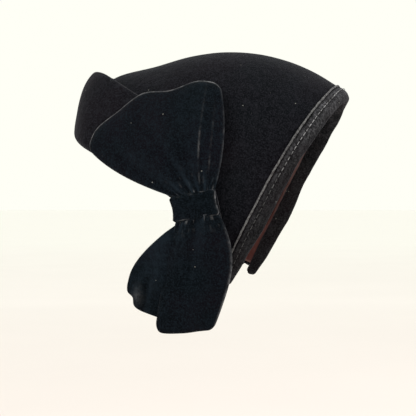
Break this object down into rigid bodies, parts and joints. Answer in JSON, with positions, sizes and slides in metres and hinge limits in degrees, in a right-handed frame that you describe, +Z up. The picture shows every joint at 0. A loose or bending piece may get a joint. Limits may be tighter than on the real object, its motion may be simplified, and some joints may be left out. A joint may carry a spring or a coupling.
{
  "type": "half hat",
  "caption": "Velvet half hat worn like a wide headband, with a turned-up front cuff, a rolled back binding and a large side bow.",
  "frame": {"origin": "centre of the head the hat is worn on, level with the widest part of the head", "axes": "+Z up, -Y the way the wearer looks, +X the wearer's left, the side of the bow"},
  "size_m": [0.1847, 0.1931, 0.1922],
  "materials": {
    "black_velvet": "deep cut pile",
    "brown_satin": "satin weave",
    "buckram": "stiffened open weave",
    "black_net": "stiff net",
    "cotton_wadding": "matte",
    "grosgrain": "ribbed",
    "black_thread": "mercerised thread",
    "black_felt": "felted",
    "wire": "cotton-wound steel wire, bare in this model",
    "comb_plastic": "mottled brown, polished"
  },
  "bodies": {
    "hat": {"crown_foundation": "buckram", "crown_velvet": "black_velvet", "crown_lining": "brown_satin", "front_edge_wire": "wire", "back_edge_wire": "wire", "wire_joiners": "wire", "back_ribbon": "grosgrain", "front_ribbon": "grosgrain", "back_binding_padding": "cotton_wadding", "back_binding_velvet": "black_velvet", "binding_piping": "black_velvet", "binding_stitches": "black_thread", "cuff_foundation": "buckram", "cuff_velvet": "black_velvet", "cuff_edge_wire": "wire", "cuff_padding": "cotton_wadding", "bow_backing_patch": "black_felt", "bow_tack_stitches": "black_thread", "bow_core": "black_velvet", "bow_core_thread": "black_thread", "bow_knot": "black_velvet", "comb_loops_left": "black_thread", "comb_loops_right": "black_thread"},
    "bow_upper_wing": {"bow_upper_loop": "black_velvet", "bow_upper_net": "black_net"},
    "bow_lower_wing": {"bow_lower_loop": "black_velvet", "bow_lower_net": "black_net", "bow_lower_tail": "black_velvet"},
    "comb_left": {"comb_left": "comb_plastic"},
    "comb_right": {"comb_right": "comb_plastic"}
  },
  "joints": [
    {"name": "upper_wing_lift", "type": "hinge", "parent": "hat", "child": "bow_upper_wing", "pos_m": [0.0942, -0.00499, 0.00114], "axis": [0, 0.9833, 0.1822], "range_deg": [0, 25], "stiffness_Nm_per_rad": 0.03},
    {"name": "lower_loop_lift", "type": "hinge", "parent": "hat", "child": "bow_lower_wing", "pos_m": [0.097, -0.00161, -0.01714], "axis": [0, -0.9833, -0.1822], "range_deg": [0, 35], "stiffness_Nm_per_rad": 0.02},
    {"name": "comb_left_swing", "type": "hinge", "parent": "hat", "child": "comb_left", "pos_m": [0.0722, 0.006, -0.01], "axis": [0, -1, 0], "range_deg": [0, 75]},
    {"name": "comb_right_swing", "type": "hinge", "parent": "hat", "child": "comb_right", "pos_m": [-0.0722, 0.006, -0.01], "axis": [0, 1, 0], "range_deg": [0, 75]}
  ]
}
